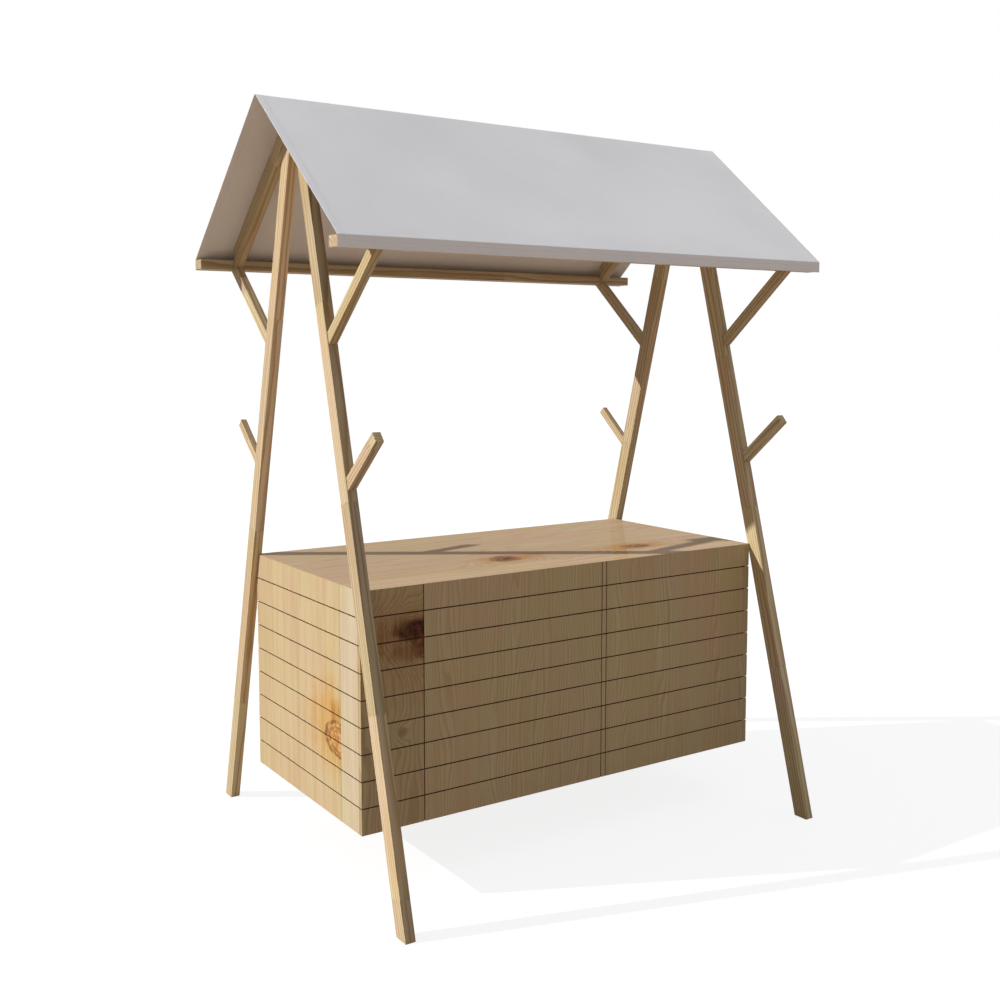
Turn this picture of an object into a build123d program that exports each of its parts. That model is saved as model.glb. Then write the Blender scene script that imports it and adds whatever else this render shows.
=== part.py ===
"""Wooden market stall: a grooved counter between two A-frames that carry a taut canvas roof.

Millimetres. +Z is up, the serving side faces -Y, and the stall's length lies along X.
The origin is on the ground, under the middle of the stall.
"""

from build123d import *
import os
from math import atan, cos, radians, sin, tan

os.makedirs("parts", exist_ok=True)

# Timber and board stock
timber_thickness = 33.0  # along X in the frames, upright in the eave rails
timber_depth = 53.0  # the wide side, in the plane of a frame
board_thickness = 19.0

# Counter
counter_length = 1602.0
counter_depth = 790.0
counter_let_in = 12.0  # how much longer it is than the clear between the frames
counter_shift_x = -6.0  # its middle, from the middle of the frames
counter_shift_y = 5.0
counter_clearance = 203.0  # from the ground to the underside
course_height = 83.0
course_count = 9
groove_width = 4.0
groove_depth = 5.0
front_seam = 583.0  # from the middle to the joint between two front boards
divider_face = 112.0  # from the middle to the near face of the divider
end_seam = 258.0  # from the middle of an end to its board joint
seam_width = 3.0  # eased open down the joints of the long sides
end_seam_width = 1.0
top_strip_width = 125.0  # the narrow board along the serving edge

# A-frames
leg_reach = 382.0  # from the middle to a leg's inner edge, level with the counter's top
leg_mitre = 4.0  # height over which a pair of legs meets under the rafters
leg_play = 2.0  # between a leg's leaning inner edge and the counter it is let into

# Braces and pegs, midway in the thickness of their frame
branch_angle = 41.0  # above the level
branch_thickness = 27.0
branch_depth = 34.0
brace_landing = 38.0  # from the rail's inner face to the brace's lower corner
front_peg_height = 1248.0  # where a peg's lower edge leaves its leg
front_peg_length = 237.0  # along that edge
back_peg_height = 1262.0
back_peg_length = 203.0
back_peg_thickness = 20.0
back_peg_depth = 30.0

# Roof
roof_overhang = 120.0  # beyond the outer faces of the frames
eave_height = 1939.0  # underside of the eave rails
eave_reach = 557.0  # from the middle to a rail's outer face
roof_pitch = 39.9
canvas_turndown = 35.0  # from the rails' tops to the hems
canvas_thickness = 2.0

# Counter places
half_length = counter_length / 2
half_depth = counter_depth / 2
counter_top = counter_clearance + course_count * course_height
top_underside = counter_top - board_thickness
inner_length = half_length - board_thickness
inner_depth = half_depth - board_thickness
divider_far_face = divider_face + board_thickness

# Roof places; reach is the distance from the middle along Y
pitch_rise = tan(radians(roof_pitch))
frame_clear = counter_length - counter_let_in
frame_inner_face = frame_clear / 2
roof_length = frame_clear + 2 * (timber_thickness + roof_overhang)
rail_top = eave_height + timber_thickness
rail_inner_reach = eave_reach - timber_depth
canvas_apex = rail_top + eave_reach * pitch_rise
rafter_under_apex = canvas_apex - timber_depth / cos(radians(roof_pitch))

# Leg places: the inner edge runs from under the rafters past the counter's top corner to the ground
leg_apex = rafter_under_apex - leg_mitre
leg_slope = leg_reach / (leg_apex - counter_top)
leg_level_width = timber_depth / cos(atan(leg_slope))


def write(part, name):
    part.label = name
    export_step(part, f"parts/{name}.step")


def counter_level(height):
    """Plane to draw the counter on, from its own middle."""
    return Plane(origin=(counter_shift_x, counter_shift_y, height))


def make_top(passing):
    """Counter top in one, its edges mitred to meet the cladding, its corners cut for the legs."""
    with BuildPart() as top:
        with BuildSketch(counter_level(top_underside)):
            Rectangle(2 * inner_length, 2 * inner_depth)
        extrude(amount=board_thickness, taper=-45)
        for piece in passing:
            add(piece, mode=Mode.SUBTRACT)
    return top.part


def make_top_board(top, keep):
    """Part of the top on one side of the joint behind the serving edge."""
    with BuildPart() as board:
        add(top)
        joint_y = counter_shift_y + top_strip_width - half_depth
        joint = Plane(origin=(0, joint_y, 0), z_dir=(0, 1, 0))
        split(bisect_by=joint, keep=keep)
    return board.part


def make_cladding(x_range, y_range, grooved, seams, neighbours):
    """Upright board of the counter, cut to fit its neighbours.

    Grooved and seams hold (x_range, y_range), cut at each course and over the full height.
    """
    height = counter_top - counter_clearance
    with BuildPart() as board:
        with BuildSketch(counter_level(counter_clearance)):
            with Locations((sum(x_range) / 2, sum(y_range) / 2)):
                Rectangle(x_range[1] - x_range[0], y_range[1] - y_range[0])
        extrude(amount=height)
        for neighbour in neighbours:
            add(neighbour, mode=Mode.SUBTRACT)
        for cut_x, cut_y in grooved:
            for course in range(1, course_count):
                groove_middle = counter_clearance + course * course_height
                with BuildSketch(counter_level(groove_middle - groove_width / 2)):
                    with Locations((sum(cut_x) / 2, sum(cut_y) / 2)):
                        Rectangle(cut_x[1] - cut_x[0], cut_y[1] - cut_y[0])
                extrude(amount=groove_width, mode=Mode.SUBTRACT)
        for cut_x, cut_y in seams:
            with BuildSketch(counter_level(counter_clearance)):
                with Locations((sum(cut_x) / 2, sum(cut_y) / 2)):
                    Rectangle(cut_x[1] - cut_x[0], cut_y[1] - cut_y[0])
            extrude(amount=height, mode=Mode.SUBTRACT)
    return board.part


def turned(x_range, y_range, end):
    """Ranges as given for the serving side (end -1), or turned half round for the other (1)."""
    if end < 0:
        return x_range, y_range
    return (-x_range[1], -x_range[0]), (-y_range[1], -y_range[0])


def side_seams(end):
    """Seams of the front (end -1) or the back (1): its board joint and the divider's two faces."""
    y_range = sorted((end * half_depth, end * (half_depth - groove_depth)))
    joints = (end * front_seam, divider_face, divider_far_face)
    return [((joint - seam_width / 2, joint + seam_width / 2), y_range) for joint in joints]


def make_side_board(x_range, end, neighbours, more_grooved=()):
    """Board of the front (end -1) or the back (1), given as on the front, grooved on its face."""
    footprint = turned(x_range, (-half_depth, -inner_depth), end)
    face = turned(x_range, (-half_depth, groove_depth - half_depth), end)
    return make_cladding(*footprint, [face, *more_grooved], side_seams(end), neighbours)


def make_corner_board(end, neighbours):
    """Side board that closes a corner, with its grooves carried round onto its end."""
    y_range = (-half_depth, -inner_depth)
    around_corner = turned((-half_length, groove_depth - half_length), y_range, end)
    return make_side_board((-half_length, -front_seam), end, neighbours, [around_corner])


def make_end_board(y_range, end, neighbours):
    """Board of the left (end -1) or right (1) end, given as on the left, grooved on its face."""
    footprint = turned((-half_length, -inner_length), y_range, end)
    worked = (-half_length, groove_depth - half_length)
    face = turned(worked, y_range, end)
    joint = (-end_seam - end_seam_width / 2, -end_seam + end_seam_width / 2)
    return make_cladding(*footprint, [face], [turned(worked, joint, end)], neighbours)


def make_divider(neighbours):
    """Upright between the two bays; its edges show, grooved, in the front and the back."""
    x_range = (divider_face, divider_far_face)
    front = (x_range, (-half_depth, groove_depth - half_depth))
    back = (x_range, (half_depth - groove_depth, half_depth))
    seams = side_seams(-1) + side_seams(1)
    return make_cladding(x_range, (-half_depth, half_depth), [front, back], seams, neighbours)


def make_floor_board(left, right):
    """Floor of one bay, level with the cladding's lower edges."""
    with BuildPart() as board:
        with BuildSketch(counter_level(counter_clearance)):
            with Locations(((left + right) / 2, 0)):
                Rectangle(right - left, 2 * inner_depth)
        extrude(amount=board_thickness)
    return board.part


def make_timber(side, end, corners, thickness=timber_thickness, carriers=()):
    """Timber of the frame at side (-1 left, 1 right); corners are (reach towards end, height).

    It lies midway in the frame's thickness, and the carriers are cut out of it.
    """
    near_face = side * (frame_inner_face + (timber_thickness - thickness) / 2)
    plane = Plane(origin=(near_face, 0, 0), x_dir=(0, end, 0), z_dir=(end, 0, 0))
    with BuildPart() as timber:
        with BuildSketch(plane):
            with BuildLine():
                Polyline(*corners, close=True)
            make_face()
        extrude(amount=side * end * thickness)
        for carrier in carriers:
            add(carrier, mode=Mode.SUBTRACT)
    return timber.part


def leg_inner_reach(height):
    return (leg_apex - height) * leg_slope


def make_leg(side, end):
    """Leaning leg, cut level at the ground, under its rafter and against the other leg."""
    foot = leg_inner_reach(0)
    shoulder = (leg_level_width - leg_mitre * leg_slope) / (1 - pitch_rise * leg_slope)
    corners = [
        (foot, 0),
        (foot + leg_level_width, 0),
        (shoulder, rafter_under_apex - shoulder * pitch_rise),
        (0, rafter_under_apex),
        (0, leg_apex),
    ]
    return make_timber(side, end, corners)


def make_rafter(side, end):
    """Rafter under one roof slope, from the ridge to the inner face of the eave rail."""
    fall = rail_inner_reach * pitch_rise
    corners = [
        (0, rafter_under_apex),
        (rail_inner_reach, rafter_under_apex - fall),
        (rail_inner_reach, canvas_apex - fall),
        (0, canvas_apex),
    ]
    return make_timber(side, end, corners)


def make_eave_rail(end):
    """Rail along one eave, lying flat, over the whole length of the roof."""
    with BuildPart() as rail:
        with BuildSketch(Plane.XY.offset(eave_height)):
            with Locations((0, end * (eave_reach - timber_depth / 2))):
                Rectangle(roof_length, timber_depth)
        extrude(amount=timber_thickness)
    return rail.part


def along_branch(start, length):
    """Point at length along a branch's lower edge from start."""
    angle = radians(branch_angle)
    return (start[0] + length * cos(angle), start[1] + length * sin(angle))


def above_branch(start, depth):
    """Point across a branch of that depth from start on its lower edge."""
    angle = radians(branch_angle)
    return (start[0] - depth * sin(angle), start[1] + depth * cos(angle))


def length_to_leg(start):
    """Length along a branch from start to the leg's outer face, negative towards the leg."""
    angle = radians(branch_angle)
    gap = leg_inner_reach(start[1]) + leg_level_width - start[0]
    return gap / (cos(angle) + sin(angle) * leg_slope)


def make_branch(side, end, heads, thickness, depth, carriers):
    """Bar that starts inside its leg and is cut to fit its carriers; heads are (lower, upper)."""
    foot = along_branch(heads[0], length_to_leg(heads[0]) - timber_depth / 2)
    corners = [foot, *heads, above_branch(foot, depth)]
    return make_timber(side, end, corners, thickness, carriers)


def make_brace(side, end, leg, rafter, rail):
    """Brace from the leg to the eave, its head notched round the rail and the rafter."""
    angle = radians(branch_angle)
    head_rise = timber_thickness / 3
    head_height = eave_height + head_rise
    head_reach = rail_inner_reach + brace_landing + head_rise / tan(angle)
    upper_reach = head_reach - branch_depth / sin(angle)
    heads = ((head_reach, head_height), (upper_reach, head_height))
    return make_branch(side, end, heads, branch_thickness, branch_depth, [leg, rafter, rail])


def make_peg(side, end, leg, height, length, thickness, depth):
    """Short peg below the brace, to hang goods on, with its end cut square."""
    leg_face = (leg_inner_reach(height) + leg_level_width, height)
    lower_head = along_branch(leg_face, length)
    heads = (lower_head, above_branch(lower_head, depth))
    return make_branch(side, end, heads, thickness, depth, [leg])


def make_ridge_beam():
    """Beam on edge under the ridge, between the two pairs of rafters."""
    top = canvas_apex - timber_thickness / 2 * pitch_rise
    with BuildPart() as beam:
        with BuildSketch(Plane.YZ.offset(-frame_inner_face)):
            with Locations((0, top - timber_depth / 2)):
                Rectangle(timber_thickness, timber_depth)
        extrude(amount=frame_clear)
    return beam.part


def make_canvas():
    """Sheet over the ridge and both slopes, turned down over the rails' outer faces."""
    hem_height = rail_top - canvas_turndown
    level_thickness = canvas_thickness / cos(radians(roof_pitch))
    outer_reach = eave_reach + canvas_thickness
    outer_apex = canvas_apex + level_thickness
    inner_line = [
        (-eave_reach, hem_height),
        (-eave_reach, rail_top),
        (0, canvas_apex),
        (eave_reach, rail_top),
        (eave_reach, hem_height),
    ]
    outer_eave = outer_apex - outer_reach * pitch_rise
    outer_line = [
        (outer_reach, hem_height),
        (outer_reach, outer_eave),
        (0, outer_apex),
        (-outer_reach, outer_eave),
        (-outer_reach, hem_height),
    ]
    with BuildPart() as canvas:
        with BuildSketch(Plane.YZ.offset(-roof_length / 2)):
            with BuildLine():
                Polyline(*inner_line, *outer_line, close=True)
            make_face()
        extrude(amount=roof_length)
    return canvas.part


side_names = {-1: "left", 1: "right"}
end_names = {-1: "front", 1: "back"}
legs = {(side, end): make_leg(side, end) for side in side_names for end in end_names}
nearer_legs = [leg.moved(Location((0, -end * leg_play, 0))) for (side, end), leg in legs.items()]

# Counter. A long side, seen from outside, starts past its left corner and stops at the board that
# runs past its right one.
passing = [*legs.values(), *nearer_legs]
top = make_top(passing)
neighbours = [top, *passing]
write(make_top_board(top, Keep.BOTTOM), "top_front_board")
write(make_top_board(top, Keep.TOP), "top_main_board")
for end, face in end_names.items():
    write(make_corner_board(end, neighbours), f"{face}_corner_board")
write(make_side_board((-front_seam, divider_face), -1, neighbours), "front_middle_board")
write(make_side_board((divider_far_face, inner_length), -1, neighbours), "front_right_board")
write(make_side_board((-front_seam, -divider_far_face), 1, neighbours), "back_right_board")
write(make_side_board((-divider_face, inner_length), 1, neighbours), "back_left_board")
for side, face in side_names.items():
    narrow = make_end_board((-inner_depth, -end_seam), side, neighbours)
    wide = make_end_board((-end_seam, half_depth), side, neighbours)
    write(narrow, f"{face}_end_narrow_board")
    write(wide, f"{face}_end_wide_board")
write(make_divider(neighbours), "divider")
write(make_floor_board(-inner_length, divider_face), "floor_board_left")
write(make_floor_board(divider_far_face, inner_length), "floor_board_right")

# Frames and roof
pegs = {
    -1: (front_peg_height, front_peg_length, branch_thickness, branch_depth),
    1: (back_peg_height, back_peg_length, back_peg_thickness, back_peg_depth),
}
rails = {end: make_eave_rail(end) for end in end_names}
for end, rail in rails.items():
    write(rail, f"{end_names[end]}_eave_rail")
for (side, end), leg in legs.items():
    place = f"{end_names[end]}_{side_names[side]}"
    rafter = make_rafter(side, end)
    write(leg, f"{place}_leg")
    write(rafter, f"{place}_rafter")
    write(make_brace(side, end, leg, rafter, rails[end]), f"{place}_brace")
    write(make_peg(side, end, leg, *pegs[end]), f"{place}_peg")
write(make_ridge_beam(), "ridge_beam")
write(make_canvas(), "canvas_roof")
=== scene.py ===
"""Looks of the wooden market stall: planed pine, a varnished counter top and a taut canvas roof.

Metres, in the row frame: +Z up, -Y towards the customer, X along the counter.
"""

import math
import bpy
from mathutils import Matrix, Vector, noise


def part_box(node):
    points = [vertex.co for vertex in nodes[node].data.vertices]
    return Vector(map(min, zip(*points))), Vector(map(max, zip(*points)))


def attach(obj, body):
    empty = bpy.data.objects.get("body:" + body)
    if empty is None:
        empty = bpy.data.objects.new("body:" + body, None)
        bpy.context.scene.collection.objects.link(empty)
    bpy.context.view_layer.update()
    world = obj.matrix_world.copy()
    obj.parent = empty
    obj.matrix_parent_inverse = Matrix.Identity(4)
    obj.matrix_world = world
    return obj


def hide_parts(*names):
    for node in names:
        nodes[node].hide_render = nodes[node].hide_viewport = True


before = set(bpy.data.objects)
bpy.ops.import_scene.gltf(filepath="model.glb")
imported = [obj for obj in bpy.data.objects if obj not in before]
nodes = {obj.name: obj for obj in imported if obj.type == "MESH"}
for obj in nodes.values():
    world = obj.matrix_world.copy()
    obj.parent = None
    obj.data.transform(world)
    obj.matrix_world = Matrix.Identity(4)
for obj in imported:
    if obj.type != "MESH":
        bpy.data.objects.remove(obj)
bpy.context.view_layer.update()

X, Y, Z = Vector((1, 0, 0)), Vector((0, 1, 0)), Vector((0, 0, 1))
LEG_LEAN = math.radians(15.11)
BRANCH_ANGLE = math.radians(41)
ROOF_PITCH = math.radians(39.9)
GROOVE_DEPTH = 0.005

# Eased arrises
WELD_REACH = 0.00002
TIMBER_ARRIS = 0.0009
BOARD_ARRIS = 0.0004
TOP_ARRIS = 0.0006

# Wood colours
PALE = (0.515, 0.415, 0.262)
WARM = (0.43, 0.32, 0.184)
LATE = (0.34, 0.235, 0.112)
END_PALE = (0.515, 0.455, 0.335)
END_WARM = (0.45, 0.37, 0.25)
TOP_PALE = (0.545, 0.415, 0.29)
TOP_WARM = (0.47, 0.335, 0.205)
FRAME_PALE = (0.555, 0.475, 0.335)
FRAME_WARM = (0.41, 0.315, 0.180)
FRAME_LATE = (0.28, 0.18, 0.085)
BARK = (0.07, 0.028, 0.012)
GLUE = (0.12, 0.075, 0.035)
# painted shade in the counter's grooves
GROOVE_PAINTED_SHADE = (0.095, 0.042, 0.012)
REDDISH = (1.01, 0.955, 0.935)
YELLOWISH = (0.995, 0.99, 0.905)

# Wood figure; a stretch below 1 draws a noise out along the grain
PIECE_SHIFT = (3.17, 1.31, 7.7)  # from one seed's piece to the next, across, in depth and along
JOINT_SHIFT = 5.3
SWELL_SCALE = 7.0
FINE_WAVE_SCALE = 40.0
NOISES = {  # stretch, scale, detail, roughness
    "streak": (0.03, 95.0, 3.0, 0.6),
    "fibre": (0.02, 700.0, 3.0, 0.6),
    "cloud": (0.3, 9.0, 3.0, 0.5),
    "band": (0.015, 30.0, 2.0, 0.5),
    "hue": (0.6, 4.5, 2.0, 0.5),
}
RING_DARKNESS = 0.50
STREAK_SHADE = 0.34
FIBRE_SHADE = 0.22
CLOUD_SHADE = 0.20
BAND_SHADE = 0.20
PIECE_SHADE = 0.20
FINGER_WIDTH = 0.0045
FINGER_REACH = 2.2  # a finger's length over its width
FRAME_LAMELLA = 0.62  # usual length between finger joints
FRAME_PAINTED_SIDE_SHADE = 0.95  # painted shade: tone of a timber's narrow sides beside its face
# painted shade on the narrow sides of the eave rails and ridge beam
RAIL_PAINTED_SIDE_SHADE = 0.85
WOBBLE_SCALE = 26.0
MOTTLE_SCALE = 44.0
KNOT_RINGS = 26.0
KNOT_PUSH = 8.0  # growth rings pushed aside
KNOT_FADE = -0.22
SAWN_ROUGHNESS = 0.52
SAWN_SPECULAR = 0.12
VARNISH_ROUGHNESS = 0.26
VARNISH_COAT_ROUGHNESS = 0.05
SAWN_RELIEF = 0.00035
VARNISHED_RELIEF = 0.0001

# Canvas
CLOTH = 0.0009
HEM = 0.024
HEM_STEP = 0.0003  # the doubled cloth stands out by this
HEM_FADE = 0.003
HEM_ZONE = HEM * 1.3  # where the sheet is divided finely
FINE_SPACING = 0.003
SPACING = 0.018
EAVE_RADIUS = 0.004
RIDGE_RADIUS = 0.006
BEND_STEPS = 6
SAG = 0.0045
RIPPLE = 0.0012
RIPPLE_ALONG = 3.1  # ripples to the metre, along the ridge and across it
RIPPLE_DOWN = 4.3
THREAD = 0.0011
STITCH_HALF_PITCH = 0.0022
SLUB_SCALE = 420.0
SLUB_STRETCH = 0.06
CLOTH_COOL = (0.845, 0.835, 0.845)
CLOTH_PALE = (0.865, 0.86, 0.865)
STITCH_COLOUR = (0.45, 0.43, 0.42)
BACK_SLOPE_PAINTED_SHADE = 0.85  # painted shade: the back slope darker than the front, so that it doesn't clip in the sun

# Camera, light and floor
CAMERA_PLACE = (-2.3847, -3.5086, 1.6569)
CAMERA_DIP = 5.042
CAMERA_TURN = -33.513
CAMERA_LENS = 42.935
CAMERA_SHIFT = (0.00275, -0.04357)
CAMERA_CLIP = 200
SUN_ENERGY = 4.0
SUN_SPREAD = math.radians(0.6)
SUN_COLOUR = (1.0, 0.99, 0.96)
SUN_WAY = (1.62, -0.76, -1.0)
STUDIO_COLOUR = (0.965, 0.985, 1.04)
OVERHEAD_LIGHT = 0.70
FRONT_LIGHT = 0.06
ROUND_LIGHT = 0.05
WHITE = (1.0, 1.0, 1.0)
FLOOR_HALF = 30.0
FLOOR_GLOW = 0.85
FLOOR_SHADE = (0.18, 0.18, 0.18)
FLOOR_BOUNCE = (0.41, 0.315, 0.245)


# ---------------------------------------------------------------- shader building
class Shader:
    """The nodes of a material or world, and short calls that add them.

    A value is a number, a tuple or a socket.
    """

    def __init__(self, block):
        self.block = block
        block.use_nodes = True
        self.tree = block.node_tree
        self.tree.nodes.clear()

    def add(self, kind, values=(), **settings):
        node = self.tree.nodes.new("ShaderNode" + kind)
        for key, value in settings.items():
            setattr(node, key, value)
        for key, value in dict(values).items():
            self.feed(node.inputs[key], value)
        return node

    def feed(self, socket, value):
        if isinstance(value, bpy.types.NodeSocket):
            self.tree.links.new(value, socket)
        elif isinstance(value, tuple) and socket.type == "RGBA" and len(value) == 3:
            socket.default_value = (*value, 1)
        else:
            socket.default_value = value

    def math(self, operation, a, b=0.0):
        return self.add("Math", {0: a, 1: b}, operation=operation).outputs[0]

    def plus(self, *values):
        total = values[0]
        for value in values[1:]:
            total = self.math("ADD", total, value)
        return total

    def times(self, *values):
        total = values[0]
        for value in values[1:]:
            total = self.math("MULTIPLY", total, value)
        return total

    def swing(self, value, amount):
        """How far a noise is from its middle, times an amount."""
        return self.times(self.plus(value, -0.5), amount)

    def ramp(self, value, start, end, low=0.0, high=1.0):
        """Smooth change from low, where value is start, to high, where it is end."""
        return self.add("MapRange", {0: value, 1: start, 2: end, 3: low, 4: high},
                        interpolation_type="SMOOTHSTEP").outputs[0]

    def mix(self, factor, a, b, blend="MIX"):
        return self.add("Mix", {0: factor, 6: a, 7: b}, data_type="RGBA", blend_type=blend).outputs[2]

    def shaded(self, colour, value):
        """The colour times a number."""
        return self.mix(1.0, colour, self.vector(value, value, value), "MULTIPLY")

    def noise(self, vector, scale, detail=2.0, roughness=0.5):
        values = {"Vector": vector, "Scale": scale, "Detail": detail, "Roughness": roughness}
        return self.add("TexNoise", values).outputs["Fac"]

    def vector(self, x, y, z):
        return self.add("CombineXYZ", {0: x, 1: y, 2: z}).outputs[0]

    def parts(self, vector):
        return self.add("SeparateXYZ", {0: vector}).outputs

    def scaled(self, vector, factors):
        return self.add("VectorMath", {0: vector, 1: factors}, operation="MULTIPLY").outputs[0]

    def stretch(self, vector, along):
        """The vector with its third part, along the grain, scaled."""
        return self.scaled(vector, (1.0, 1.0, along))

    def dot(self, vector, axis):
        node = self.add("VectorMath", {0: vector, 1: tuple(axis)}, operation="DOT_PRODUCT")
        return node.outputs["Value"]

    def place(self):
        return self.add("TexCoord").outputs["Object"]

    def along(self, axis):
        """Distance along an axis of the row frame, in metres."""
        return self.dot(self.place(), axis)

    def flat(self, name):
        """The parts of a flat map laid over a sheet."""
        return self.parts(self.add("UVMap", uv_map=name).outputs[0])

    def bump(self, height, distance, strength):
        return self.add("Bump", {"Height": height, "Distance": distance, "Strength": strength}).outputs[0]

    def link_output(self, kind, surface):
        self.tree.links.new(surface.outputs[0], self.add(kind).inputs[0])
        return self.block

    def finish(self, values):
        """Principled surface with those values."""
        return self.link_output("OutputMaterial", self.add("BsdfPrincipled", values))


# ---------------------------------------------------------------- wood
def spot_distance(s, across, lengthways, middle, size, wobble, unevenness):
    """Distance from a spot's middle, 1 at its rim, with an uneven outline."""
    a = s.times(s.plus(across, -middle[0]), 1 / size[0])
    b = s.times(s.plus(lengthways, -middle[1]), 1 / size[1])
    round_distance = s.math("SQRT", s.plus(s.times(a, a), s.times(b, b)))
    return s.plus(round_distance, s.swing(wobble, unevenness))


def paint_stain(s, colour, distance, streak, tint):
    """A soft stain that follows the streaks of the grain."""
    amount = s.times(s.ramp(distance, 1.2, 0.35), s.ramp(streak, 0.30, 0.62, 0.55, 1.0))
    return s.mix(amount, colour, tint, "MULTIPLY")


def paint_knot(s, colour, distance, mottle, knot):
    """A knot's mottled heart, its rings and the dark broken line round it."""
    heart = s.mix(s.ramp(mottle, 0.42, 0.60), knot["heart"], knot["inner"])
    rings = s.ramp(s.math("SINE", s.times(distance, KNOT_RINGS)), -1, 1, 0.82, 1.08)
    heart = s.shaded(heart, rings)
    soft = knot.get("soft", 0.12)
    colour = s.mix(s.ramp(distance, 1.0 + soft, 1.0 - 2 * soft), colour, heart)
    rim = s.times(s.ramp(distance, 0.80, 0.93), s.ramp(distance, 1.10, 0.99),
                  s.ramp(mottle, 0.62, 0.46, 0.35))
    return s.mix(s.times(rim, knot["rim"]), colour, knot.get("line", BARK))


def finger_joints(s, across, depth, along, spacing, seed):
    """Tone of each length of a finger-jointed timber, and the distance to the nearest joint."""
    fingers = s.math("PINGPONG", s.plus(across, depth), FINGER_WIDTH)
    cells = {"W": s.plus(along, s.times(fingers, FINGER_REACH), seed * JOINT_SHIFT),
             "Scale": 1 / spacing, "Randomness": 0.8}
    piece = s.add("TexVoronoi", cells, voronoi_dimensions="1D", feature="F1")
    joint = s.add("TexVoronoi", cells, voronoi_dimensions="1D", feature="DISTANCE_TO_EDGE")
    tone = s.add("SeparateColor", {0: piece.outputs["Color"]}).outputs[0]
    return tone, joint.outputs["Distance"]


def in_groove(s):
    """1 on the walls and floors of the grooves worked into the counter's faces, where their shade is painted.
    """
    place = s.parts(s.place())
    beyond_end = s.plus(s.math("ABSOLUTE", s.plus(place[0], -counter_middle.x)), -counter_half.x)
    beyond_side = s.plus(s.math("ABSOLUTE", s.plus(place[1], -counter_middle.y)), -counter_half.y)
    depth = s.math("MAXIMUM", beyond_end, beyond_side)
    sunk = s.times(s.ramp(depth, -0.0004, -0.0012),
                   s.ramp(depth, -1.3 * GROOVE_DEPTH, -1.1 * GROOVE_DEPTH))
    return s.times(sunk, s.ramp(place[2], counter_low.z + 0.0004, counter_low.z + 0.0012))


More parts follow.
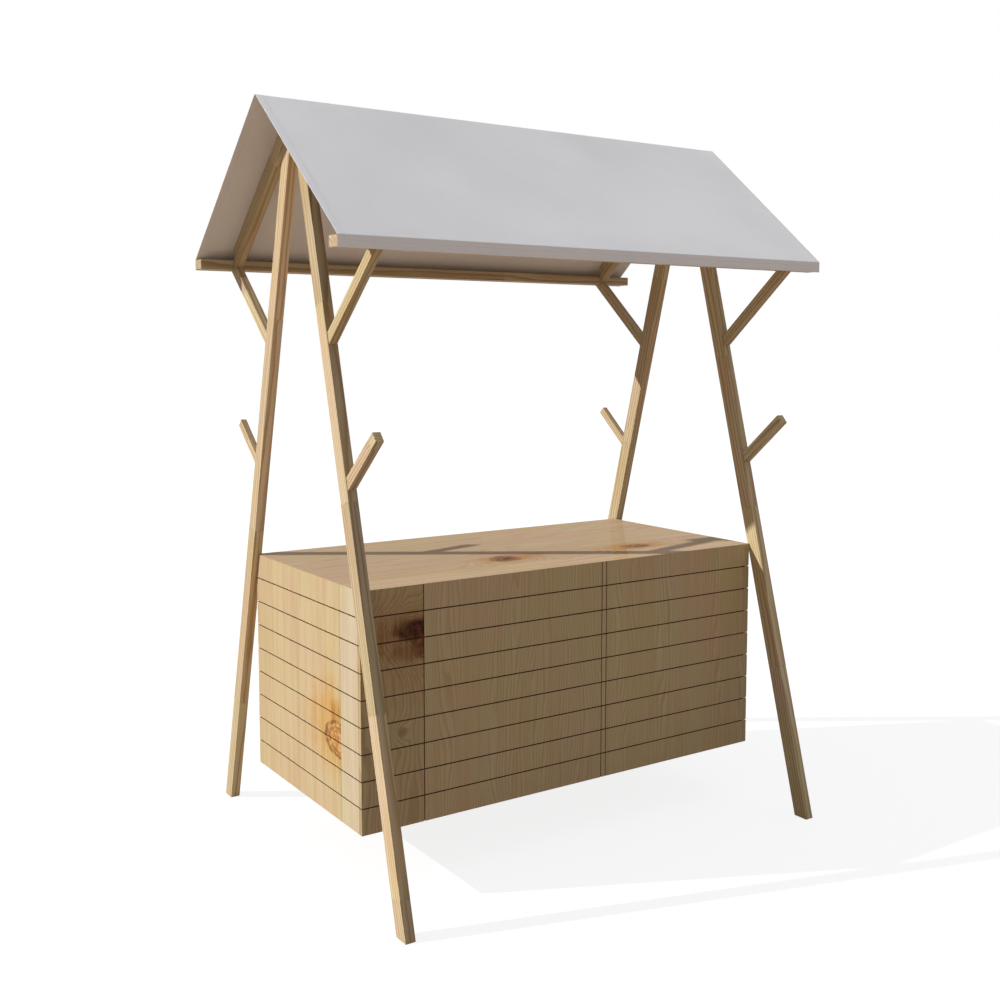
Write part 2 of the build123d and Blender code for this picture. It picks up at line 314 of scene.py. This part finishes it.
def wood(name, lengthways, face, seed, ring=0.011, figure=5.0, wave=0.10, colours=(PALE, WARM, LATE),
         tone=1.0, contrast=1.0, painted_side_light=1.0, knots=(), stains=(), worked=False, lamella=0.0,
         varnish=0.0):
    """Sawn softwood with its grain along one axis, seen mostly on the face with that normal.

    Ring is the growth rings' spacing, figure and wave their waviness, lamella the usual length between finger
    joints, and worked says that the face is grooved and paints shade into its grooves.
    """
    s = Shader(bpy.data.materials.new(name))
    pale, warm, late = colours
    across, depth, along = s.along(lengthways.cross(face)), s.along(face), s.along(lengthways)
    shifted = s.vector(*(s.plus(part, seed * step)
                         for part, step in zip((across, depth, along), PIECE_SHIFT)))
    if lamella:
        piece_tone, joint = finger_joints(s, across, depth, along, lamella, seed)
        piece_shift = s.vector(s.times(piece_tone, 3.0), piece_tone, 0.0)
        shifted = s.add("VectorMath", {0: shifted, 1: piece_shift}, operation="ADD").outputs[0]
    streak, fibre, cloud, band, hue = (s.noise(s.stretch(shifted, stretch), scale, detail, roughness)
                                       for stretch, scale, detail, roughness in NOISES.values())

    # Growth rings are the contour lines of a field stretched along the grain and pushed round knots
    swell = s.noise(s.stretch(shifted, wave), SWELL_SCALE)
    fine_wave = s.noise(s.stretch(shifted, wave), FINE_WAVE_SCALE)
    field = s.plus(s.times(across, 1 / ring), s.times(depth, 0.6 / ring), s.times(swell, figure * 2),
                   s.times(fine_wave, 0.8))
    if knots or stains:
        wobble = s.noise(shifted, WOBBLE_SCALE, 3.0)
        mottle = s.noise(shifted, MOTTLE_SCALE, 3.0, 0.6)
    distances = [spot_distance(s, across, along, knot["at"], knot["size"], wobble, knot.get("uneven", 0.6))
                 for knot in knots]
    for distance, knot in zip(distances, knots):
        push = s.math("EXPONENT", s.times(distance, distance, KNOT_FADE))
        field = s.plus(field, s.times(push, knot.get("push", KNOT_PUSH)))
    saw = s.math("FRACT", field)
    ring_line = s.times(s.ramp(saw, 0.35, 0.9), s.ramp(saw, 1.0, 0.93))

    # Colour, then the grain's lighter and darker tones over it, and painted light and shade on the sides
    # beside the face
    warmth = s.plus(s.times(streak, 0.45), s.times(band, 0.3), s.times(cloud, 0.25))
    colour = s.mix(s.ramp(warmth, 0.38, 0.62), pale, warm)
    colour = s.mix(s.times(ring_line, RING_DARKNESS * contrast), colour, late)
    colour = s.mix(1.0, colour, s.mix(s.ramp(hue, 0.42, 0.58), REDDISH, YELLOWISH), "MULTIPLY")
    shade = s.plus(s.swing(streak, STREAK_SHADE * contrast), s.swing(fibre, FIBRE_SHADE),
                   s.swing(cloud, CLOUD_SHADE * contrast), s.swing(band, BAND_SHADE * contrast))
    if lamella:
        shade = s.plus(shade, s.swing(piece_tone, PIECE_SHADE))
    value = s.times(s.plus(shade, 1.0), tone)
    # Painted light and shade: the sides beside the face take a tone of their own, above 1 for light and below
    # 1 for shade
    if painted_side_light != 1.0:
        facing = s.math("ABSOLUTE", s.dot(s.add("TexCoord").outputs["Normal"], face))
        value = s.times(value, s.ramp(facing, 0.3, 0.7, painted_side_light, 1.0))
    colour = s.shaded(colour, value)
    for stain in stains:
        distance = spot_distance(s, across, along, stain["at"], stain["size"], wobble, 0.9)
        colour = paint_stain(s, colour, distance, streak, stain["tint"])
    for distance, knot in zip(distances, knots):
        if "heart" in knot:
            colour = paint_knot(s, colour, distance, mottle, knot)
    if lamella:
        colour = s.mix(s.ramp(joint, 0.0011, 0.0005, 0.0, 0.55), colour, GLUE)
    # Painted shade on the walls and floors of the grooves
    if worked:
        colour = s.mix(s.times(in_groove(s), 0.95), colour, GROOVE_PAINTED_SHADE)

    relief = s.plus(s.times(fibre, 0.5), s.times(ring_line, 0.35), s.times(streak, 0.15))
    if varnish:
        return s.finish({"Base Color": colour, "Roughness": s.plus(s.times(fibre, 0.06), VARNISH_ROUGHNESS),
                         "Specular IOR Level": 0.0, "Coat Weight": varnish,
                         "Coat Roughness": VARNISH_COAT_ROUGHNESS,
                         "Normal": s.bump(relief, VARNISHED_RELIEF, 0.4)})
    roughness = s.plus(s.times(fibre, 0.18), s.times(ring_line, -0.08), SAWN_ROUGHNESS)
    return s.finish({"Base Color": colour, "Roughness": roughness, "Specular IOR Level": SAWN_SPECULAR,
                     "Normal": s.bump(relief, SAWN_RELIEF, 0.55)})


def dress(node, material, arris=TIMBER_ARRIS):
    """Gives a CAD piece its material and eased arrises."""
    obj = nodes[node]
    obj.data.materials.clear()
    obj.data.materials.append(material)
    weld = obj.modifiers.new("weld", "WELD")
    weld.merge_threshold = WELD_REACH
    bevel = obj.modifiers.new("arris", "BEVEL")
    bevel.width = arris
    bevel.segments = 2
    bevel.limit_method = "ANGLE"
    bevel.angle_limit = math.radians(30)
    bevel.harden_normals = True


# ---------------------------------------------------------------- frames
def frame_wood(name, lengthways, seed, face=X, painted_side_light=FRAME_PAINTED_SIDE_SHADE):
    return wood(name, lengthways, face, seed, ring=0.013, figure=3.5, tone=1.16, contrast=1.4,
                lamella=FRAME_LAMELLA, colours=(FRAME_PALE, FRAME_WARM, FRAME_LATE),
                painted_side_light=painted_side_light)


def dress_frames():
    """Each timber with its grain along it, in finger-jointed lengths, with painted light and shade on its
    narrow sides.
    """
    seed = 1
    # Painted light and shade on each leg's narrow sides: darker at the front left, lighter at the back
    leg_painted_side_light = {"front_left": 0.80, "front_right": 1.02, "back_left": 1.42, "back_right": 1.20}
    for side in ("left", "right"):
        for end, sign in (("front", -1), ("back", 1)):
            place = f"{end}_{side}"
            branch = Vector((0, sign * math.cos(BRANCH_ANGLE), math.sin(BRANCH_ANGLE)))
            axes = {
                "leg": Vector((0, -sign * math.sin(LEG_LEAN), math.cos(LEG_LEAN))),
                "rafter": Vector((0, -sign * math.cos(ROOF_PITCH), math.sin(ROOF_PITCH))),
                "brace": branch,
                "peg": branch,
            }
            for kind, axis in axes.items():
                seed += 1
                painted_side_light = leg_painted_side_light[place] if kind == "leg" else FRAME_PAINTED_SIDE_SHADE
                name = f"{place}_{kind}"
                dress(name, frame_wood(f"pine_{name}", axis, seed, painted_side_light=painted_side_light))
    for node in ("front_eave_rail", "back_eave_rail", "ridge_beam"):
        seed += 1
        dress(node, frame_wood(f"pine_{node}", X, seed, Z, RAIL_PAINTED_SIDE_SHADE))


# ---------------------------------------------------------------- counter
counter_low = Vector(map(min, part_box("left_end_wide_board")[0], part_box("front_corner_board")[0]))
counter_high = Vector(map(max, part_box("right_end_wide_board")[1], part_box("back_corner_board")[1]))
counter_middle = (counter_low + counter_high) / 2
counter_half = (counter_high - counter_low) / 2

# Knots and stains: middle and half size, across the board and along its grain
CORNER_KNOTS = [
    dict(at=(-0.602, 0.811), size=(0.092, 0.036), heart=(0.038, 0.009, 0.004),
         inner=(0.125, 0.036, 0.012), rim=0.15, soft=0.20, push=6.0),
    dict(at=(-0.588, 0.752), size=(0.040, 0.032), heart=(0.13, 0.035, 0.016),
         inner=(0.20, 0.09, 0.036), rim=0.2, soft=0.30, push=3.0),
    dict(at=(-0.668, 0.500), size=(0.014, 0.017), heart=(0.30, 0.20, 0.10),
         inner=(0.34, 0.24, 0.13), rim=0.25, soft=0.30, push=3.0),
    dict(at=(-0.600, 0.935), size=(0.075, 0.055), push=-5.0),
]
CORNER_STAINS = [
    dict(at=(-0.64, 0.78), size=(0.26, 0.22), tint=(0.90, 0.79, 0.68)),
    dict(at=(-0.62, 0.815), size=(0.125, 0.060), tint=(0.66, 0.52, 0.38)),
    dict(at=(-0.630, 0.745), size=(0.100, 0.038), tint=(0.60, 0.48, 0.30)),
    dict(at=(-0.725, 0.80), size=(0.045, 0.070), tint=(0.82, 0.72, 0.62)),
]
END_KNOTS = [
    dict(at=(-0.240, 0.458), size=(0.098, 0.056), heart=(0.34, 0.150, 0.042),
         inner=(0.58, 0.33, 0.11), rim=0.85, line=(0.15, 0.065, 0.020), uneven=0.25),
]
END_STAINS = [
    dict(at=(-0.215, 0.490), size=(0.22, 0.17), tint=(1.0, 0.77, 0.38)),
    dict(at=(-0.163, 0.640), size=(0.026, 0.17), tint=(0.97, 0.95, 0.72)),
    dict(at=(-0.215, 0.530), size=(0.040, 0.060), tint=(0.78, 0.58, 0.36)),
]
TOP_KNOTS = [
    dict(at=(-0.160, -0.135), size=(0.048, 0.055), heart=(0.13, 0.050, 0.022),
         inner=(0.28, 0.13, 0.055), rim=0.4, soft=0.25),
    dict(at=(-0.200, 0.415), size=(0.036, 0.060), heart=(0.18, 0.080, 0.028),
         inner=(0.34, 0.18, 0.07), rim=0.3, soft=0.30),
]
TOP_STAINS = [
    dict(at=(-0.155, -0.115), size=(0.075, 0.17), tint=(0.90, 0.64, 0.38)),
    dict(at=(-0.198, 0.385), size=(0.065, 0.20), tint=(0.92, 0.68, 0.40)),
]


def turned(spots, across_axis):
    """Spots given by their place along +X or +Y, for a face whose across axis may point the other way."""
    sign = across_axis.x + across_axis.y
    return [dict(spot, at=(spot["at"][0] * sign, spot["at"][1])) for spot in spots]


def dress_counter():
    """Upright boards of the counter, its floor and its varnished top."""
    side_boards = {
        "front_corner_board": (-Y, 31, dict(tone=0.93, contrast=1.25, ring=0.020, figure=6.0, wave=0.22,
                                            knots=CORNER_KNOTS, stains=CORNER_STAINS)),
        "front_middle_board": (-Y, 32, dict(tone=1.05, figure=8.0, wave=0.16)),
        "front_right_board": (-Y, 33, dict(tone=1.09, figure=8.0, wave=0.16)),
        "divider": (-Y, 34, dict(tone=1.10)),
        "left_end_wide_board": (-X, 35, dict(tone=1.04, contrast=0.28, knots=END_KNOTS, stains=END_STAINS)),
        "left_end_narrow_board": (-X, 36, dict(tone=1.07, contrast=0.28, colours=(END_PALE, END_WARM, LATE))),
        "back_corner_board": (Y, 37, dict(tone=0.95)),
        "back_left_board": (Y, 38, dict()),
        "back_right_board": (Y, 39, dict(tone=1.03)),
        "right_end_wide_board": (X, 40, dict()),
        "right_end_narrow_board": (X, 41, dict(tone=0.96)),
    }
    for node, (face, seed, looks) in side_boards.items():
        for spots in ("knots", "stains"):
            looks[spots] = turned(looks.get(spots, ()), Z.cross(face))
        dress(node, wood(f"cladding_{node}", Z, face, seed, worked=True, **looks), BOARD_ARRIS)
    for node, seed in (("floor_board_left", 51), ("floor_board_right", 52)):
        dress(node, wood(f"pine_{node}", X, Z, seed), TOP_ARRIS)
    top = dict(ring=0.024, contrast=0.75, figure=6.0, varnish=0.10, colours=(TOP_PALE, TOP_WARM, LATE))
    spots = dict(knots=turned(TOP_KNOTS, X.cross(Z)), stains=turned(TOP_STAINS, X.cross(Z)))
    dress("top_main_board", wood("varnished_main", X, Z, 61, tone=0.96, **spots, **top), TOP_ARRIS)
    dress("top_front_board", wood("varnished_front", X, Z, 62, tone=1.04, **top), TOP_ARRIS)


# ---------------------------------------------------------------- canvas
sheet_low, sheet_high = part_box("canvas_roof")
frame_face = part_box("front_right_leg")[0].x
rail_reach = abs(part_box("front_eave_rail")[1].y)


def canvas_material():
    """Close-woven canvas with a stitched hem, from its flat coordinates in metres."""
    s = Shader(bpy.data.materials.new("canvas"))
    warp, weft = s.flat("flat")[:2]
    over = s.math("SINE", s.times(warp, 2 * math.pi / THREAD))
    under = s.math("SINE", s.times(weft, 2 * math.pi / THREAD))
    weave = s.plus(s.times(over, under, 0.5), 0.5)
    place = s.vector(warp, weft, 0.0)
    slub = s.noise(s.scaled(place, (1.0, SLUB_STRETCH, 1.0)), SLUB_SCALE)
    slub_across = s.noise(s.scaled(place, (SLUB_STRETCH, 1.0, 1.0)), SLUB_SCALE)
    cloud = s.noise(place, 2.2, 3.0)
    tint = s.noise(place, 1.1)
    colour = s.mix(s.ramp(tint, 0.4, 0.6), CLOTH_COOL, CLOTH_PALE)
    # Painted shade on the back slope, which the sun lights more than the front
    painted_slope_shade = s.ramp(s.parts(s.place())[1], -0.01, 0.01, 1.0, BACK_SLOPE_PAINTED_SHADE)
    value = s.plus(painted_slope_shade, s.swing(cloud, 0.13), s.swing(slub, 0.07), s.swing(slub_across, 0.05),
                   s.swing(weave, 0.05))
    colour = s.shaded(colour, value)
    to_edge = s.math("MINIMUM", *s.flat("edge")[:2])
    dash = s.ramp(s.math("PINGPONG", s.plus(warp, weft), STITCH_HALF_PITCH), 0.0005, 0.0009)
    off_seam = s.math("ABSOLUTE", s.plus(to_edge, -HEM * 0.86))
    stitch = s.times(s.ramp(off_seam, 0.0009, 0.0004), dash)
    colour = s.mix(s.times(stitch, 0.3), colour, STITCH_COLOUR)
    relief = s.plus(s.times(weave, 0.6), s.times(slub, 0.4), s.times(stitch, -1.2))
    return s.finish({"Base Color": colour, "Roughness": 0.82, "Specular IOR Level": 0.2,
                     "Sheen Weight": 0.12, "Sheen Roughness": 0.5,
                     "Normal": s.bump(relief, 0.0002, 0.6)})


def canvas_section():
    """Points (y, z) across the sheet, with small radii at ridge and eaves."""
    reach, drop, top = sheet_high.y - CLOTH, sheet_low.z, sheet_high.z - CLOTH
    eave = top - reach * math.tan(ROOF_PITCH)
    corners = [(-reach, drop), (-reach, eave), (0.0, top), (reach, eave), (reach, drop)]
    radii = [EAVE_RADIUS, RIDGE_RADIUS, EAVE_RADIUS]
    points = [corners[0]]
    for before, here, after, radius in zip(corners, corners[1:], corners[2:], radii):
        here, before, after = Vector(here), Vector(before), Vector(after)
        a, b = (before - here).normalized(), (after - here).normalized()
        half = a.angle(b) / 2
        trim = radius / math.tan(half)
        centre = here + (a + b).normalized() * (radius / math.sin(half))
        start, end = here + a * trim, here + b * trim
        for step in range(BEND_STEPS + 1):
            blended = start.lerp(end, step / BEND_STEPS) - centre
            points.append(tuple(centre + blended.normalized() * radius))
    points.append(corners[-1])
    return points


def subdivide_section(points, spacing):
    fine = [Vector(points[0])]
    for a, b in zip(points, points[1:]):
        a, b = Vector(a), Vector(b)
        count = max(1, math.ceil((b - a).length / spacing))
        fine += [a.lerp(b, (k + 1) / count) for k in range(count)]
    return fine


def canvas_columns(start, end):
    """Places along the ridge, closer together over the hems."""
    columns = []
    x = start
    while x < end - 1e-6:
        columns.append(x)
        in_hem = x < start + HEM_ZONE or x > end - HEM_ZONE - FINE_SPACING
        x += FINE_SPACING if in_hem else SPACING
    return [*columns, end]


def canvas_point(x, y, z, to_edge):
    """A point of the sheet, moved out at the hems and in where the cloth is slack between the frames."""
    out = Vector((math.copysign(1, y), 0))
    sag, ripple = 0.0, 0.0
    if abs(y) < rail_reach:
        out = Vector((math.copysign(math.sin(ROOF_PITCH), y), math.cos(ROOF_PITCH)))
        span = max(0.0, 1 - (x / frame_face) ** 2)
        sag = SAG * span * math.sin(math.pi * (abs(y) / rail_reach))
    if sag:
        down_slope = max(0.0, min(1.0, (sheet_high.z - z) / (sheet_high.z - sheet_low.z)))
        mid_slope = max(0.0, 1 - abs(2 * down_slope - 0.95))
        wave = noise.noise(Vector((x * RIPPLE_ALONG, y * RIPPLE_DOWN, z * RIPPLE_DOWN)))
        ripple = RIPPLE * wave * mid_slope
    step = HEM_STEP * (1 - min(1.0, max(0.0, (to_edge - HEM) / HEM_FADE)))
    offset = step - sag + ripple
    return x, y + out.x * offset, z + out.y * offset


def make_canvas():
    """One sheet from eave to eave, a little slack between the frames and doubled at its hems."""
    section = subdivide_section(canvas_section(), SPACING)
    lengths = [0.0]
    for a, b in zip(section, section[1:]):
        lengths.append(lengths[-1] + (b - a).length)
    total = lengths[-1]
    columns = canvas_columns(sheet_low.x, sheet_high.x)
    vertices, flats, edges = [], [], []
    for x in columns:
        for (y, z), length in zip(section, lengths):
            edge = (min(x - sheet_low.x, sheet_high.x - x), min(length, total - length))
            vertices.append(canvas_point(x, y, z, min(edge)))
            flats.append((x - sheet_low.x, length))
            edges.append(edge)
    rows = len(section)
    corners = [i * rows + j for i in range(len(columns) - 1) for j in range(rows - 1)]
    mesh = bpy.data.meshes.new("canvas")
    mesh.from_pydata(vertices, [], [(a, a + rows, a + rows + 1, a + 1) for a in corners])
    for name, values in (("flat", flats), ("edge", edges)):
        layer = mesh.uv_layers.new(name=name)
        for loop in mesh.loops:
            layer.data[loop.index].uv = values[loop.vertex_index]
    mesh.shade_smooth()
    canvas = bpy.data.objects.new("canvas", mesh)
    bpy.context.scene.collection.objects.link(canvas)
    mesh.materials.append(canvas_material())
    thickness = canvas.modifiers.new("thickness", "SOLIDIFY")
    thickness.thickness = CLOTH
    thickness.offset = -1 if mesh.polygons[0].normal.y < 0 else 1
    canvas.modifiers.new("plain_edge", "WEIGHTED_NORMAL").weight = 100
    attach(canvas, "root")
    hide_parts("canvas_roof")


# ---------------------------------------------------------------- camera, light and floor
def make_camera():
    camera = bpy.data.objects.new("camera", bpy.data.cameras.new("camera"))
    bpy.context.scene.collection.objects.link(camera)
    camera.location = CAMERA_PLACE
    camera.rotation_euler = (math.radians(90 - CAMERA_DIP), 0, math.radians(CAMERA_TURN))
    camera.data.lens = CAMERA_LENS
    camera.data.shift_x, camera.data.shift_y = CAMERA_SHIFT
    camera.data.clip_end = CAMERA_CLIP
    bpy.context.scene.camera = camera


def seen_directly(s):
    """1 where the camera, a mirror or glass looks at the surface."""
    path = s.add("LightPath")
    seen = s.math("MAXIMUM", path.outputs["Is Camera Ray"], path.outputs["Is Glossy Ray"])
    return s.math("MAXIMUM", seen, path.outputs["Is Transmission Ray"])


def make_world():
    """White to look at; its light comes mostly from overhead, a little from the front and all round."""
    world = bpy.data.worlds.new("world")
    bpy.context.scene.world = world
    s = Shader(world)
    way = s.parts(s.add("TexCoord").outputs["Generated"])
    overhead = s.times(s.math("MAXIMUM", way[2], 0.0), OVERHEAD_LIGHT)
    ahead = s.times(s.math("MAXIMUM", s.times(way[1], -1), 0.0), FRONT_LIGHT)
    studio = s.add("Background", {"Color": STUDIO_COLOUR, "Strength": s.plus(overhead, ahead, ROUND_LIGHT)})
    white = s.add("Background", {"Color": WHITE, "Strength": 1.0})
    mixed = s.add("MixShader", {0: seen_directly(s), 1: studio.outputs[0], 2: white.outputs[0]})
    s.link_output("OutputWorld", mixed)


def make_sun():
    sun = bpy.data.objects.new("sun", bpy.data.lights.new("sun", "SUN"))
    bpy.context.scene.collection.objects.link(sun)
    sun.data.energy = SUN_ENERGY
    sun.data.angle = SUN_SPREAD
    sun.data.color = SUN_COLOUR
    sun.rotation_euler = Vector(SUN_WAY).to_track_quat("-Z", "Y").to_euler()


def make_floor():
    """Pale floor that shows white and keeps a soft shadow, and throws back a quiet warm light."""
    mesh = bpy.data.meshes.new("floor")
    half = FLOOR_HALF
    mesh.from_pydata([(-half, -half, 0), (half, -half, 0), (half, half, 0), (-half, half, 0)], [],
                     [(0, 1, 2, 3)])
    floor = bpy.data.objects.new("floor", mesh)
    bpy.context.scene.collection.objects.link(floor)
    s = Shader(bpy.data.materials.new("floor"))
    white = s.add("Emission", {"Color": WHITE, "Strength": FLOOR_GLOW})
    pale = s.add("BsdfDiffuse", {"Color": FLOOR_SHADE})
    shown = s.add("AddShader", {0: white.outputs[0], 1: pale.outputs[0]})
    bounce = s.add("BsdfDiffuse", {"Color": FLOOR_BOUNCE})
    mixed = s.add("MixShader", {0: seen_directly(s), 1: bounce.outputs[0], 2: shown.outputs[0]})
    mesh.materials.append(s.link_output("OutputMaterial", mixed))


bpy.context.scene.view_settings.view_transform = "Standard"
make_camera()
make_world()
make_sun()
make_floor()
dress_frames()
dress_counter()
make_canvas()

bpy.context.view_layer.update()
